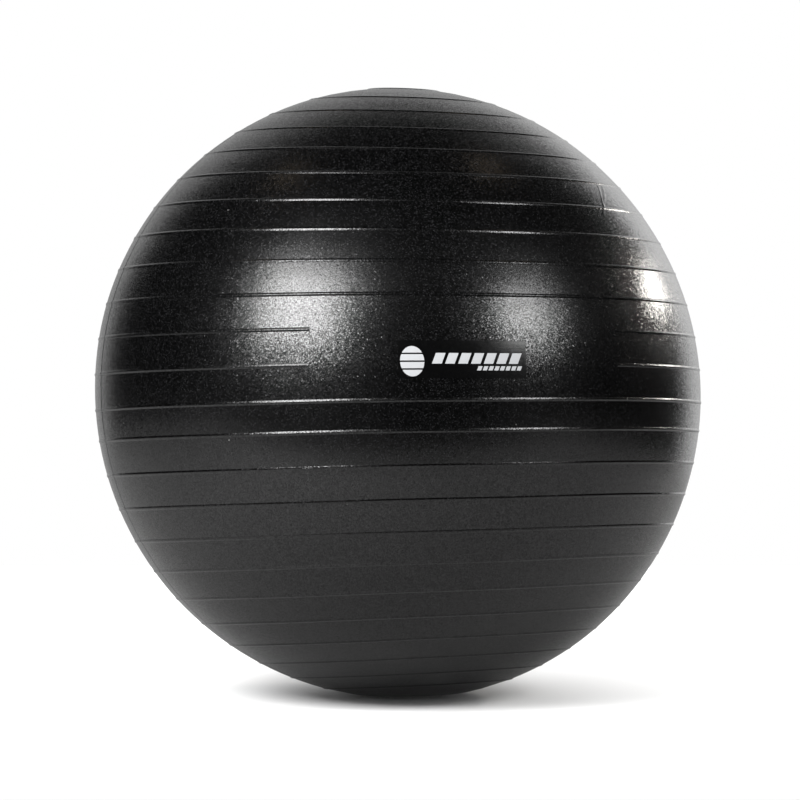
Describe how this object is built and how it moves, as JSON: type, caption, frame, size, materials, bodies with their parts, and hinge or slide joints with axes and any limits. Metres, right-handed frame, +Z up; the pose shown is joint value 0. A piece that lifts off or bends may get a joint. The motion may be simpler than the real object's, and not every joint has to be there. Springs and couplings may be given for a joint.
{
  "type": "exercise ball",
  "caption": "Inflated ribbed exercise ball standing on a flat resting patch, with a printed label on a smooth panel and a push-in air plug that pulls out of its valve seat.",
  "frame": {"origin": "middle of the flat patch the ball rests on, at floor level", "axes": "+Z up along the axis the ribs run around, the label faces -Y, the valve plug pulls out along +Y"},
  "size_m": [0.6506, 0.6506, 0.6528],
  "materials": {
    "ball_pvc": "satin",
    "seat_pvc": "satin",
    "plug_plastic": "satin",
    "label_film": "satin",
    "label_ink": "matte"
  },
  "bodies": {
    "ball": {"ball_shell": "ball_pvc", "valve_seat": "seat_pvc", "label_film": "label_film", "label_print": "label_ink"},
    "plug": {"valve_plug": "plug_plastic"}
  },
  "joints": [
    {"name": "plug_pull", "type": "slide", "parent": "ball", "child": "plug", "axis": [0, 1, 0], "range_m": [0, 0.032]}
  ]
}
